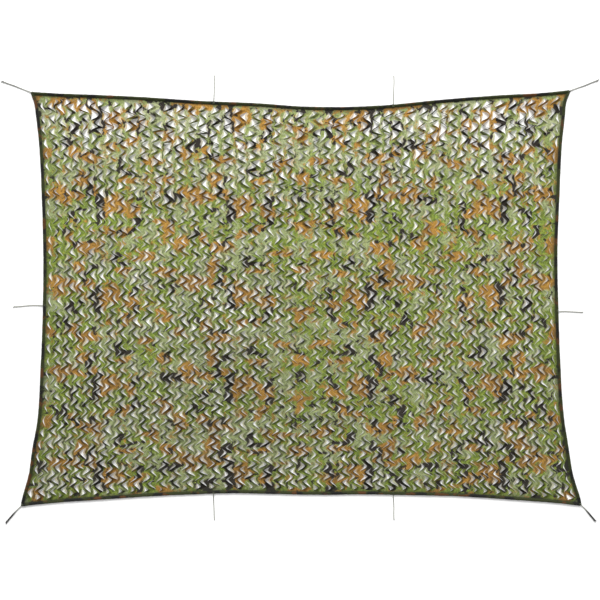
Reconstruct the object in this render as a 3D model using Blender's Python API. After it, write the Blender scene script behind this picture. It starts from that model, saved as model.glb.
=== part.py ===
"""Camouflage netting: one width of leaf-cut cloth, a corded binding sewn round it and ten tie cords.

Metres, +Z up. The net lies flat, its long sides along X, with the middle of its underside at the origin.
Run with: blender --background --python part.py
"""

import math

import bpy
from mathutils import Vector, geometry

# Driving sizes.
NET_LENGTH = 2.038  # along the bottom side, over the binding
NET_DEPTH = 1.512  # from the highest corner to the lowest
CLOTH_THICKNESS = 0.002
BINDING_WIDTH = 0.010
BINDING_HEIGHT = 0.009
BINDING_ROUND = 0.0035  # radius of the binding's long edges
CORNER_CUT = 0.004  # the binding's corner tips are folded back this far
CLEARANCE = 0.0003  # between pieces that touch

TIE_DIAMETER = 0.004
TIE_STEP = 0.012  # from one ring of a tie's tube to the next
TIE_ROOT_HEIGHT = BINDING_HEIGHT / 2
TIE_LIFT = 0.0001  # a tie's cord lies this far off the floor
CURVE_STEPS = 8  # points read from a tie's curve between two of its route's points
KNOT_DIAMETER = 0.0085
# The rings of a tie's end knot. Columns: distance past the cord, and share of the knot's diameter.
KNOT_RINGS = (
    (0.0, 0.80),
    (0.0025, 1.00),
    (0.0050, 0.75),
    (0.0065, 0.30),
)

# The leaf-cut pattern repeats this many times across the net and up it.
REPEATS_ACROSS = 45
REPEATS_UP = 34
# Every second repeat is cut through, in the middle of the net.
CUT_ACROSS = 20
CUT_UP = 15
CUT_STEP = 2
GAP_REACH = (0.0078, 0.0106)  # from a gap's middle to its upper tip, across and up
GAP_HALF_WIDTH_AT_SIDES = 0.0036
GAP_HALF_WIDTH_IN_MIDDLE = 0.0072
NARROW_FROM = 0.8  # share of the way from the middle to a side where gaps are at their narrowest
# A leaf-shaped gap's rim from its upper tip, right side first.
# Columns: share of the reach from its middle to its tip, and share of its half width.
GAP_RIM = (
    (1.00, 0.0),
    (0.35, 1.0),
    (-0.45, 0.9),
    (-1.00, 0.0),
    (-0.35, -0.8),
    (0.45, -0.7),
)

# The corners, on the outside of the binding.
TOP_LEFT = Vector((-0.984, 0.750))
TOP_RIGHT = Vector((0.979, NET_DEPTH / 2))
BOTTOM_LEFT = Vector((-NET_LENGTH / 2, -NET_DEPTH / 2))
BOTTOM_RIGHT = Vector((NET_LENGTH / 2, -0.753))

# Each side draws in between its corners, where no tie pulls it out.
# Columns: distance along the side from its first corner, and how far it draws in there.
TOP_DRAW = (
    (0.072, 0.005),
    (0.236, 0.012),
    (0.399, 0.020),
    (0.617, 0.035),
    (0.834, 0.045),
    (0.980, 0.056),
    (1.107, 0.059),
    (1.270, 0.054),
    (1.488, 0.034),
    (1.706, 0.018),
    (1.860, 0.010),
)
BOTTOM_DRAW = (
    (0.053, 0.007),
    (0.162, 0.017),
    (0.271, 0.024),
    (0.488, 0.038),
    (0.652, 0.045),
    (0.761, 0.048),
    (0.925, 0.045),
    (1.059, 0.042),
    (1.250, 0.043),
    (1.414, 0.040),
    (1.577, 0.036),
    (1.796, 0.022),
    (1.950, 0.010),
)
LEFT_DRAW = (
    (0.037, 0.015),
    (0.081, 0.023),
    (0.168, 0.035),
    (0.385, 0.052),
    (0.560, 0.061),
    (0.778, 0.065),
    (0.995, 0.062),
    (1.213, 0.052),
    (1.300, 0.038),
    (1.387, 0.028),
    (1.475, 0.006),
)
RIGHT_DRAW = (
    (0.043, 0.018),
    (0.087, 0.024),
    (0.174, 0.036),
    (0.392, 0.053),
    (0.588, 0.065),
    (0.784, 0.067),
    (1.002, 0.065),
    (1.177, 0.058),
    (1.307, 0.042),
    (1.394, 0.030),
    (1.481, 0.006),
)

# How the repeats spread across the net, which was pulled wider left of its middle.
# Columns: share of the net's width from the left, and repeats counted from the left.
SPREAD = (
    (0.0, 0.0),
    (0.135, 6.4),
    (0.275, 12.5),
    (0.585, 25.7),
    (0.710, 31.4),
    (0.840, 37.5),
    (1.0, 45.0),
)

# Each tie's route over the floor, from its root at the binding to its knotted end.
TIES = {
    "tie_corner_top_left": (
        (-0.9822, 0.7485),
        (-1.016, 0.7612),
        (-1.041, 0.7712),
        (-1.066, 0.7800),
        (-1.086, 0.7875),
    ),
    "tie_corner_top_right": (
        (0.9772, 0.7545),
        (1.002, 0.7632),
        (1.0285, 0.7722),
        (1.053, 0.7822),
        (1.078, 0.7920),
    ),
    "tie_corner_bottom_left": (
        (-1.0172, -0.7545),
        (-1.0324, -0.7696),
        (-1.047, -0.7858),
        (-1.060, -0.8010),
        (-1.071, -0.8140),
    ),
    "tie_corner_bottom_right": (
        (1.0172, -0.7512),
        (1.030, -0.7640),
        (1.043, -0.7790),
        (1.055, -0.7935),
        (1.0665, -0.8070),
    ),
    "tie_top_left": (
        (-0.3170, 0.7175),
        (-0.3160, 0.7400),
        (-0.3150, 0.7650),
        (-0.3145, 0.7880),
        (-0.3147, 0.8090),
    ),
    "tie_top_right": (
        (0.3340, 0.7055),
        (0.3345, 0.7300),
        (0.3356, 0.7560),
        (0.3368, 0.7820),
        (0.3362, 0.8080),
    ),
    "tie_bottom_left": (
        (-0.3180, -0.7130),
        (-0.3176, -0.7360),
        (-0.3165, -0.7590),
        (-0.3158, -0.7820),
        (-0.3147, -0.8030),
    ),
    "tie_bottom_right": (
        (0.3340, -0.7125),
        (0.3350, -0.7350),
        (0.3362, -0.7580),
        (0.3358, -0.7810),
        (0.3366, -0.8030),
    ),
    "tie_left": (
        (-0.9380, -0.0254),
        (-0.9620, -0.0252),
        (-0.9870, -0.0258),
        (-1.0180, -0.0288),
        (-1.0440, -0.0305),
    ),
    "tie_right": (
        (0.9380, -0.0465),
        (0.9600, -0.0470),
        (0.9800, -0.0482),
        (1.0010, -0.0494),
        (1.0220, -0.0500),
    ),
}


def clear_scene():
    for thing in list(bpy.data.objects):
        bpy.data.objects.remove(thing)


def material(name, colour, roughness):
    made = bpy.data.materials.new(name)
    made.use_nodes = True
    shader = made.node_tree.nodes["Principled BSDF"]
    shader.inputs["Base Color"].default_value = (*colour, 1.0)
    shader.inputs["Roughness"].default_value = roughness
    shader.inputs["Metallic"].default_value = 0.0
    return made


def outline(first, last, draw, inset=0.0):
    """A side of the net from corner to corner, moved inwards by inset. The net lies right of it."""
    along = (last - first).normalized()
    inwards = Vector((along.y, -along.x))
    points = [first + along * place + inwards * drawn for place, drawn in draw]
    points = [first, *points, last]
    moved = []
    for i, point in enumerate(points):
        before, after = points[max(i - 1, 0)], points[min(i + 1, len(points) - 1)]
        way = (after - before).normalized()
        moved.append(point + Vector((way.y, -way.x)) * inset)
    return moved


# The four sides, each run so that the net lies on its right: clockwise, seen from above.
def top_side(inset):
    return outline(TOP_LEFT, TOP_RIGHT, TOP_DRAW, inset)


def right_side(inset):
    return outline(TOP_RIGHT, BOTTOM_RIGHT, RIGHT_DRAW, inset)


def bottom_side(inset):
    mirrored = [((BOTTOM_RIGHT - BOTTOM_LEFT).length - place, drawn) for place, drawn in BOTTOM_DRAW]
    return outline(BOTTOM_RIGHT, BOTTOM_LEFT, mirrored[::-1], inset)


def left_side(inset):
    mirrored = [((TOP_LEFT - BOTTOM_LEFT).length - place, drawn) for place, drawn in LEFT_DRAW]
    return outline(BOTTOM_LEFT, TOP_LEFT, mirrored[::-1], inset)


def crossing(first, second):
    """Where the end of one side, run on in a straight line, meets the start of the next."""
    a, b, c, d = (point.to_3d() for point in (first[-2], first[-1], second[0], second[1]))
    return geometry.intersect_line_line(a, b, c, d)[0].to_2d()


def between(before, side, after):
    """A side trimmed or run on to where it meets its two neighbours."""
    return [crossing(before, side), *side[1:-1], crossing(side, after)]


def flat_outline(name, loops, half_height, collection, finish, rounding=0.0):
    """A flat piece with the given outline and holes, resting on the floor."""
    curve = bpy.data.curves.new(name, "CURVE")
    curve.dimensions = "2D"
    curve.fill_mode = "BOTH"
    curve.extrude = half_height - rounding
    curve.bevel_depth = rounding
    curve.bevel_resolution = 1
    curve.offset = -rounding
    for loop in loops:
        spline = curve.splines.new("POLY")
        spline.points.add(len(loop) - 1)
        for point, place in zip(spline.points, loop):
            point.co = (place.x, place.y, 0.0, 1.0)
        spline.use_cyclic_u = True
    piece = bpy.data.objects.new(name, curve)
    piece.location.z = half_height
    curve.materials.append(finish)
    collection.objects.link(piece)
    return piece


def share_of_width(repeats):
    """How far across the net a place is that lies so many repeats from its left side."""
    for (share, count), (next_share, next_count) in zip(SPREAD, SPREAD[1:]):
        if repeats <= next_count:
            return share + (next_share - share) * (repeats - count) / (next_count - count)
    return 1.0


def at_share(side, share):
    """The point that lies a share of the way along a side, in a straight line's measure."""
    way = (side[-1] - side[0]).normalized()
    reach = (side[-1] - side[0]).length * share
    for start, end in zip(side, side[1:]):
        low, high = (start - side[0]).dot(way), (end - side[0]).dot(way)
        if reach <= high:
            return start.lerp(end, (reach - low) / (high - low))
    return side[-1]


def place_in_net(sides, across, up):
    """The place with the given shares of the net's width and depth, following all four sides."""
    top, right, bottom, left = sides
    flat = at_share(bottom, across).lerp(at_share(top, across), up)
    sideways = at_share(left, up).lerp(at_share(right, up), across)
    corners = bottom[0].lerp(bottom[-1], across).lerp(top[0].lerp(top[-1], across), up)
    return flat + sideways - corners


def leaf_gap(middle, slant, half_width):
    """A leaf-shaped gap with pointed ends. slant is 1 where it leans right and -1 where it leans left."""
    tip = Vector((slant * GAP_REACH[0], GAP_REACH[1]))
    across = Vector((tip.y, -tip.x)).normalized() * half_width
    return [middle + tip * along + across * aside for along, aside in GAP_RIM]


def gaps_in_cloth():
    """The gaps that are cut through, each in its own repeat of the pattern."""
    sides = (
        top_side(0.0),
        right_side(0.0)[::-1],
        bottom_side(0.0)[::-1],
        left_side(0.0),
    )
    first_column = (REPEATS_ACROSS - CUT_STEP * (CUT_ACROSS - 1)) / 2
    first_row = (REPEATS_UP - CUT_STEP * (CUT_UP - 1)) / 2
    loops = []
    for column in range(CUT_ACROSS):
        across = share_of_width(first_column + CUT_STEP * column)
        sideness = min(abs(across - 0.5) * 2 / NARROW_FROM, 1.0)
        middleness = 0.5 + 0.5 * math.cos(math.pi * sideness)
        widening = (GAP_HALF_WIDTH_IN_MIDDLE - GAP_HALF_WIDTH_AT_SIDES) * middleness
        half_width = GAP_HALF_WIDTH_AT_SIDES + widening
        for row in range(CUT_UP):
            up = (first_row + CUT_STEP * row) / REPEATS_UP
            slant = 1 if row % 2 == 0 else -1
            loops.append(leaf_gap(place_in_net(sides, across, up), slant, half_width))
    return loops


def add_cloth(collection, finish):
    edge = BINDING_WIDTH + CLEARANCE
    sides = [top_side(edge), right_side(edge), bottom_side(edge), left_side(edge)]
    loop = []
    for i, side in enumerate(sides):
        loop += between(sides[i - 1], side, sides[(i + 1) % 4])[:-1]
    flat_outline(
        "net_cloth", [loop, *gaps_in_cloth()], CLOTH_THICKNESS / 2, collection, finish
    )


def folded_corners(outer, before, after):
    """The outer line of a long side, with its corner tips folded back."""
    start, end = outer[0], outer[-1]
    return [
        start + (before[-2] - start).normalized() * CORNER_CUT,
        start + (outer[1] - start).normalized() * CORNER_CUT,
        *outer[1:-1],
        end + (outer[-2] - end).normalized() * CORNER_CUT,
        end + (after[1] - end).normalized() * CORNER_CUT,
    ]


def long_binding(outer, inner, before, after):
    """The outline of a binding that runs the net's whole length."""
    return folded_corners(outer, before, after) + between(before, inner, after)[::-1]


def short_binding(outer, inner, before, after):
    """The outline of a binding that ends against the long ones, just clear of their inner sides."""
    return between(before, outer, after) + between(before, inner, after)[::-1]


def add_bindings(collection, finish):
    outer = [top_side(0.0), right_side(0.0), bottom_side(0.0), left_side(0.0)]
    width = BINDING_WIDTH
    top, right, bottom, left = outer
    top_in, right_in, bottom_in, left_in = (
        top_side(width),
        right_side(width),
        bottom_side(width),
        left_side(width),
    )
    top_stop, bottom_stop = top_side(width + CLEARANCE), bottom_side(width + CLEARANCE)
    loops = {
        "binding_top": long_binding(top, top_in, left, right),
        "binding_bottom": long_binding(bottom, bottom_in, right, left),
        "binding_right": short_binding(right, right_in, top_stop, bottom_stop),
        "binding_left": short_binding(left, left_in, bottom_stop, top_stop),
    }
    for name, loop in loops.items():
        flat_outline(name, [loop], BINDING_HEIGHT / 2, collection, finish, BINDING_ROUND)


def smooth_curve(points, steps):
    """Many points on a smooth curve through a few, with steps to each stretch."""
    before_first = points[0] * 2 - points[1]
    after_last = points[-1] * 2 - points[-2]
    held = [before_first, *points, after_last]
    found = []
    for a, b, c, d in zip(held, held[1:], held[2:], held[3:]):
        for i in range(steps):
            t = i / steps
            bend = (a * 2 - b * 5 + c * 4 - d) * t * t + (b * 3 - a - c * 3 + d) * t**3
            found.append((b * 2 + (c - a) * t + bend) / 2)
    return [*found, points[-1]]


def evenly_spaced(points, step):
    """The curve's points again, about step apart."""
    lengths = [0.0]
    for start, end in zip(points, points[1:]):
        lengths.append(lengths[-1] + (end - start).length)
    count = round(lengths[-1] / step)
    found = []
    for i in range(count + 1):
        reach = lengths[-1] * i / count
        j = next(k for k in range(1, len(lengths)) if reach <= lengths[k] + 1e-9)
        share = (reach - lengths[j - 1]) / (lengths[j] - lengths[j - 1])
        found.append(points[j - 1].lerp(points[j], share))
    return found


def net_rim():
    """The outside of the binding, all the way round."""
    top, right, bottom, left = top_side(0.0), right_side(0.0), bottom_side(0.0), left_side(0.0)
    rim = folded_corners(top, left, right) + right[1:-1]
    rim += folded_corners(bottom, right, left) + left[1:-1]
    return [*rim, rim[0]]


def seated(route, rim):
    """A tie's route with its root moved to the outside of the binding, just clear of it."""
    first, second = Vector(route[0]), Vector(route[1])
    way = (second - first).normalized()
    inside = first - way * BINDING_WIDTH
    for start, end in zip(rim, rim[1:]):
        root = geometry.intersect_line_line_2d(inside, second, start, end)
        if root:
            return [root + way * 2 * CLEARANCE, *(Vector(point) for point in route[1:])]
    raise ValueError("a tie's route misses the binding")


def add_tie(name, route, collection, finish):
    """A tie cord from the binding to its knot, lying on the floor for most of its length."""
    lying = TIE_DIAMETER / 2 + TIE_LIFT
    heights = (TIE_ROOT_HEIGHT, lying, lying, lying, KNOT_DIAMETER / 2)
    held = [Vector((*place, height)) for place, height in zip(route, heights)]
    line = evenly_spaced(smooth_curve(held, CURVE_STEPS), TIE_STEP)
    for point in line:
        point.z = max(point.z, lying)
    way = (line[-1] - line[-2]).normalized()
    way.z = 0.0
    fatter = KNOT_DIAMETER / TIE_DIAMETER
    rings = [(point, 1.0) for point in line[:-1]]
    rings += [(line[-1] + way * past, fatter * share) for past, share in KNOT_RINGS]
    curve = bpy.data.curves.new(name, "CURVE")
    curve.dimensions = "3D"
    curve.bevel_depth = TIE_DIAMETER / 2
    curve.bevel_resolution = 2
    curve.use_fill_caps = True
    spline = curve.splines.new("POLY")
    spline.points.add(len(rings) - 1)
    for point, (place, thickness) in zip(spline.points, rings):
        point.co = (*place, 1.0)
        point.radius = thickness
    curve.materials.append(finish)
    collection.objects.link(bpy.data.objects.new(name, curve))


def build():
    clear_scene()
    collection = bpy.data.collections.new("camouflage_netting")
    bpy.context.scene.collection.children.link(collection)
    cloth_finish = material("printed_cloth", (0.20, 0.24, 0.09), 0.85)
    binding_finish = material("printed_binding", (0.045, 0.055, 0.025), 0.9)
    cord_finish = material("tie_cord", (0.22, 0.22, 0.20), 0.8)
    add_cloth(collection, cloth_finish)
    add_bindings(collection, binding_finish)
    rim = net_rim()
    for name, route in TIES.items():
        add_tie(name, seated(route, rim), collection, cord_finish)


build()
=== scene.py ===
"""Camouflage netting laid out flat: leaf-cut printed cloth, a corded binding and ten tie cords.

Metres, +Z up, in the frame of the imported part. The net's long sides run along X.
"""

import math

import bpy
import numpy as np
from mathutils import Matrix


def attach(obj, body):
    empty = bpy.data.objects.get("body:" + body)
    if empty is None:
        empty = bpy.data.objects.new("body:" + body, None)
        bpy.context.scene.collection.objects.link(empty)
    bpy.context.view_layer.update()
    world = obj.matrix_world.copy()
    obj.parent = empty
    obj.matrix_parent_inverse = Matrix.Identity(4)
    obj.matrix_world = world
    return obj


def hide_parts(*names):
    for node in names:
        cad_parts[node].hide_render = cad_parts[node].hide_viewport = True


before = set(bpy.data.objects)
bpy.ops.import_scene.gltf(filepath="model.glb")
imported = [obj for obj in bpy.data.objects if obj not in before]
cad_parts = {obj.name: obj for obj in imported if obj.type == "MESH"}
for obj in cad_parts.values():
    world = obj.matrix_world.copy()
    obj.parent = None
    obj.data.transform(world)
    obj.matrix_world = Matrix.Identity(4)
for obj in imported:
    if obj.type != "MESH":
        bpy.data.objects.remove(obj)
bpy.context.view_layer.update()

# ---------------------------------------------------------------- sizes shared with the solids

MILLIMETRE = 0.001
BINDING_MIDDLE = 0.0045  # height of its rope, and how far in from the outline it runs
TIE_DIAMETER = 0.004
REPEATS_ACROSS = 45
REPEATS_UP = 34
FLAT_SIZE = (2.0, 1.5)  # the cloth's, before its sides draw in

TOP_LEFT = (-0.984, 0.750)
TOP_RIGHT = (0.979, 0.756)
BOTTOM_LEFT = (-1.019, -0.756)
BOTTOM_RIGHT = (1.019, -0.753)

# How far each side draws in between its corners. Columns: distance along it, and how far in.
TOP_DRAW = (
    (0.072, 0.005),
    (0.236, 0.012),
    (0.399, 0.020),
    (0.617, 0.035),
    (0.834, 0.045),
    (0.980, 0.056),
    (1.107, 0.059),
    (1.270, 0.054),
    (1.488, 0.034),
    (1.706, 0.018),
    (1.860, 0.010),
)
BOTTOM_DRAW = (
    (0.053, 0.007),
    (0.162, 0.017),
    (0.271, 0.024),
    (0.488, 0.038),
    (0.652, 0.045),
    (0.761, 0.048),
    (0.925, 0.045),
    (1.059, 0.042),
    (1.250, 0.043),
    (1.414, 0.040),
    (1.577, 0.036),
    (1.796, 0.022),
    (1.950, 0.010),
)
LEFT_DRAW = (
    (0.037, 0.015),
    (0.081, 0.023),
    (0.168, 0.035),
    (0.385, 0.052),
    (0.560, 0.061),
    (0.778, 0.065),
    (0.995, 0.062),
    (1.213, 0.052),
    (1.300, 0.038),
    (1.387, 0.028),
    (1.475, 0.006),
)
RIGHT_DRAW = (
    (0.043, 0.018),
    (0.087, 0.024),
    (0.174, 0.036),
    (0.392, 0.053),
    (0.588, 0.065),
    (0.784, 0.067),
    (1.002, 0.065),
    (1.177, 0.058),
    (1.307, 0.042),
    (1.394, 0.030),
    (1.481, 0.006),
)
# The cuts aren't quite evenly spread. Columns: repeats from the left, and share of the net's width.
SPREAD = (
    (0.0, 0.0),
    (6.4, 0.135),
    (12.5, 0.275),
    (25.7, 0.585),
    (31.4, 0.710),
    (37.5, 0.840),
    (45.0, 1.0),
)

# Each tie: its length in metres, and its route over the floor from the binding to its knot.
TIES = {
    "tie_corner_top_left": (
        0.111,
        (
            (-0.9822, 0.7485),
            (-1.016, 0.7612),
            (-1.041, 0.7712),
            (-1.066, 0.7800),
            (-1.086, 0.7875),
        ),
    ),
    "tie_corner_top_right": (
        0.108,
        (
            (0.9772, 0.7545),
            (1.002, 0.7632),
            (1.0285, 0.7722),
            (1.053, 0.7822),
            (1.078, 0.7920),
        ),
    ),
    "tie_corner_bottom_left": (
        0.080,
        (
            (-1.0172, -0.7545),
            (-1.0324, -0.7696),
            (-1.047, -0.7858),
            (-1.060, -0.8010),
            (-1.071, -0.8140),
        ),
    ),
    "tie_corner_bottom_right": (
        0.075,
        (
            (1.0172, -0.7512),
            (1.030, -0.7640),
            (1.043, -0.7790),
            (1.055, -0.7935),
            (1.0665, -0.8070),
        ),
    ),
    "tie_top_left": (
        0.092,
        (
            (-0.3170, 0.7175),
            (-0.3160, 0.7400),
            (-0.3150, 0.7650),
            (-0.3145, 0.7880),
            (-0.3147, 0.8090),
        ),
    ),
    "tie_top_right": (
        0.103,
        (
            (0.3340, 0.7055),
            (0.3345, 0.7300),
            (0.3356, 0.7560),
            (0.3368, 0.7820),
            (0.3362, 0.8080),
        ),
    ),
    "tie_bottom_left": (
        0.090,
        (
            (-0.3180, -0.7130),
            (-0.3176, -0.7360),
            (-0.3165, -0.7590),
            (-0.3158, -0.7820),
            (-0.3147, -0.8030),
        ),
    ),
    "tie_bottom_right": (
        0.091,
        (
            (0.3340, -0.7125),
            (0.3350, -0.7350),
            (0.3362, -0.7580),
            (0.3358, -0.7810),
            (0.3366, -0.8030),
        ),
    ),
    "tie_left": (
        0.106,
        (
            (-0.9380, -0.0254),
            (-0.9620, -0.0252),
            (-0.9870, -0.0258),
            (-1.0180, -0.0288),
            (-1.0440, -0.0305),
        ),
    ),
    "tie_right": (
        0.084,
        (
            (0.9380, -0.0465),
            (0.9600, -0.0470),
            (0.9800, -0.0482),
            (1.0010, -0.0494),
            (1.0220, -0.0500),
        ),
    ),
}


def placed(name, data):
    """A new object in the scene."""
    thing = bpy.data.objects.new(name, data)
    bpy.context.scene.collection.objects.link(thing)
    return thing


# ---------------------------------------------------------------- camera

CAMERA_PLACE = (-0.0044, -0.0058, 7.0)
CAMERA_REACH = 100.0
SEEN_WIDTH = 2.1774  # metres of floor across the picture
SENSOR = 36.0  # millimetres

camera = placed("camera", bpy.data.cameras.new("camera"))
camera.data.sensor_width = SENSOR
camera.data.lens = SENSOR * CAMERA_PLACE[2] / SEEN_WIDTH
camera.data.clip_end = CAMERA_REACH
camera.location = CAMERA_PLACE
bpy.context.scene.camera = camera
bpy.context.scene.view_settings.view_transform = "Standard"


# ---------------------------------------------------------------- materials

# The Mix node's sockets for colours.
MIX_SHARE, MIX_A, MIX_B, MIX_RESULT = 0, 6, 7, 2


class Value:
    """A socket in sums: 1 - mask or height * 2 adds the Math node that works it out."""

    def __init__(self, finish, socket):
        self.finish, self.socket = finish, socket

    def __add__(self, other):
        return self.finish.maths("ADD", self, other)

    def __sub__(self, other):
        return self.finish.maths("SUBTRACT", self, other)

    def __rsub__(self, other):
        return self.finish.maths("SUBTRACT", other, self)

    def __mul__(self, other):
        return self.finish.maths("MULTIPLY", self, other)

    __radd__ = __add__
    __rmul__ = __mul__


class Finish:
    """A material's nodes."""

    def __init__(self, name, **constants):
        self.material = bpy.data.materials.new(name)
        self.material.use_nodes = True
        self.tree = self.material.node_tree
        self.shader = self.tree.nodes["Principled BSDF"]
        for socket, value in constants.items():
            self.set(socket.replace("_", " "), value)

    def add(self, kind, settings=None, sockets=None, output=0):
        """A node of that kind: its settings first, then its sockets' values or links."""
        node = self.tree.nodes.new("ShaderNode" + kind)
        for setting, value in (settings or {}).items():
            setattr(node, setting, value)
        for socket, value in (sockets or {}).items():
            self.put(node.inputs[socket], value)
        return Value(self, node.outputs[output])

    def put(self, socket, value):
        if isinstance(value, Value):
            self.tree.links.new(value.socket, socket)
        elif socket.type == "RGBA" and len(value) == 3:
            socket.default_value = (*value, 1.0)
        else:
            socket.default_value = value

    def set(self, socket, value):
        self.put(self.shader.inputs[socket], value)

    def maths(self, operation, *values):
        return self.add("Math", {"operation": operation}, dict(enumerate(values)))

    def mix(self, share, a, b, blend="MIX"):
        """Colour a, with that share of b."""
        settings = {"data_type": "RGBA", "blend_type": blend}
        return self.add("Mix", settings, {MIX_SHARE: share, MIX_A: a, MIX_B: b}, MIX_RESULT)

    def ease(self, value, low, high):
        """0 below low, 1 above high and a smooth change between them."""
        sockets = {0: value, 1: low, 2: high}
        return self.add("MapRange", {"interpolation_type": "SMOOTHSTEP"}, sockets)

    def place(self):
        """Where a point lies, in its piece's own axes."""
        return self.add("TexCoord", output="Object")

    def noise(self, place, scale, detail=2.0, roughness=0.5):
        sockets = {"Vector": place, "Scale": scale, "Detail": detail, "Roughness": roughness}
        return self.add("TexNoise", {}, sockets)

    def specks(self, place, scale, detail, roughness, low, high):
        """Noise, eased: 0 in some places, 1 in others and soft between them."""
        return self.ease(self.noise(place, scale, detail, roughness), low, high)

    def attribute(self, name, output="Fac"):
        return self.add("Attribute", {"attribute_name": name}, output=output)

    def bump(self, height, strength, distance):
        sockets = {"Height": height, "Strength": strength, "Distance": distance}
        self.set("Normal", self.add("Bump", {}, sockets))


def linear(red, green, blue):
    """The linear colour of an sRGB one that is given from 0 to 255."""
    shares = (red / 255, green / 255, blue / 255)
    return tuple(c / 12.92 if c <= 0.04045 else ((c + 0.055) / 1.055) ** 2.4 for c in shares)


PRINT_GREEN = linear(142, 164, 40)
PRINT_DEEP_GREEN = linear(110, 134, 33)
PRINT_SAGE = linear(160, 173, 116)
PRINT_KHAKI = linear(182, 160, 96)
# A pale tone, which also serves as painted light towards the top.
PALE_TONE_AND_TOP_LIGHT = linear(214, 213, 190)
PRINT_ORANGE = linear(193, 145, 60)
PRINT_BROWN = linear(168, 125, 53)
PRINT_MOTTLE = linear(152, 152, 124)
PRINT_BLACK = linear(40, 33, 25)
# The colour of the painted highlight along the cuts' flat lips.
HIGHLIGHT_COLOUR = linear(224, 217, 197)
# The colour of the painted shade along the cuts.
CUT_SHADE_COLOUR = linear(36, 36, 10)
SHADED = linear(24, 28, 14)
BINDING_GREEN = linear(44, 51, 12)
BINDING_BROWN = linear(84, 50, 12)
BINDING_BLACK = linear(8, 9, 5)
CORD_PALE = linear(176, 177, 168)
CORD_DARK = linear(24, 25, 22)
CORD_FIBRE = linear(60, 60, 50)
THREAD_GREEN = linear(52, 60, 34)
THREAD_PALE = linear(84, 92, 60)
FLOOR_WHITE = linear(253, 253, 253)
WHITE = (1.0, 1.0, 1.0)
BRIGHTER = (1.8, 1.8, 1.8)
FLOOR_GLOW = 0.15

# How a colour of the print comes in. Columns: how far its outlines wander, and the values of its
# field where there is none of it and where it is full.
ORANGE_EDGE = (3.0, 0.55, 1.30)
BLACK_EDGE = (2.6, 0.90, 1.10)
SAGE_EDGE = (2.4, 0.90, 1.10)
# The same values for the painted shade and the painted highlight along the cuts, and the most that
# they cover.
CUT_SHADE_EDGE, CUT_SHADE_MOST = (0.10, 0.75), 0.62
HIGHLIGHT_EDGE, HIGHLIGHT_MOST = (0.28, 0.74), 0.80
HIGHLIGHT_PALE = 0.72  # how much of the print the painted highlight hides there
# Smaller changes of colour. Columns: the noise's scale, detail and roughness, and its values where
# there is none of the colour and where it is full.
GREEN_SPECKS = (85.0, 2.0, 0.6, 0.42, 0.58)
KHAKI_SPECKS, KHAKI_MOST = (62.0, 2.0, 0.6, 0.50, 0.60), 0.10
BROWN_SPECKS = (11.0, 3.0, 0.5, 0.35, 0.65)
MOTTLE_SPECKS, MOTTLE_MOST = (150.0, 1.0, 0.5, 0.42, 0.60), 0.5
BINDING_BROWN_SPECKS = (17.0, 3.0, 0.6, 0.54, 0.58)
BINDING_BLACK_SPECKS = (13.0, 3.0, 0.6, 0.49, 0.54)
WEAVE_THREADS = 1400.0  # to a metre
GRAIN = 300.0  # the scale of the cloth's rougher and smoother spots


def weave(finish, place):
    """A plain weave's height."""
    across, along = (finish.add("SeparateXYZ", {}, {0: place}, axis) for axis in (0, 1))
    turn = math.pi * WEAVE_THREADS
    return finish.maths("SINE", across * turn) * finish.maths("SINE", along * turn)


def print_colour(finish, place):
    """Two greens with sage, khaki and a pale tone in them, and painted light on them towards the
    top, then orange, a mottle and black.
    """
    wander = finish.noise(place, 120.0, 2.0, 0.6) - 0.5

    def patches(field, by, low, high):
        return finish.ease(finish.attribute(field) + wander * by, low, high)

    orange = patches("orange", *ORANGE_EDGE)
    black = patches("black", *BLACK_EDGE)
    sage = patches("sage", *SAGE_EDGE)
    brown = finish.specks(place, *BROWN_SPECKS)
    khaki = finish.specks(place, *KHAKI_SPECKS) * KHAKI_MOST
    mottle = finish.specks(place, *MOTTLE_SPECKS) * MOTTLE_MOST
    green = finish.mix(finish.specks(place, *GREEN_SPECKS), PRINT_DEEP_GREEN, PRINT_GREEN)
    green = finish.mix(sage, green, PRINT_SAGE)
    green = finish.mix(khaki, green, PRINT_KHAKI)
    green = finish.mix(finish.attribute("pale_tone_and_top_light"), green, PALE_TONE_AND_TOP_LIGHT)
    colour = finish.mix(orange, green, finish.mix(brown, PRINT_ORANGE, PRINT_BROWN))
    mottled = finish.mix(1.0, colour, PRINT_MOTTLE, "MULTIPLY")
    return finish.mix(black, finish.mix(mottle, colour, mottled), PRINT_BLACK)


def cloth_finish():
    finish = Finish("printed_cloth")
    place = finish.attribute("cloth_place", "Vector")
    colour = print_colour(finish, place)
    # Painted shade along the cuts.
    rim = finish.ease(finish.attribute("rim"), *CUT_SHADE_EDGE) * CUT_SHADE_MOST
    colour = finish.mix(rim, colour, CUT_SHADE_COLOUR)
    # A painted highlight along the flat lip of each cut: the print brightened, then paled.
    back = finish.ease(finish.attribute("back"), *HIGHLIGHT_EDGE) * HIGHLIGHT_MOST
    lit = finish.mix(1.0, colour, BRIGHTER, "MULTIPLY")
    colour = finish.mix(back, colour, finish.mix(HIGHLIGHT_PALE, lit, HIGHLIGHT_COLOUR))
    finish.set("Base Color", finish.mix(finish.attribute("shade"), colour, SHADED))
    finish.set("Roughness", 0.72 + finish.noise(place, GRAIN) * 0.2)
    height = weave(finish, place) * 0.5 + finish.noise(place, 120.0) * 2.0
    finish.bump(height, strength=0.35, distance=0.0004)
    return finish.material


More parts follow.
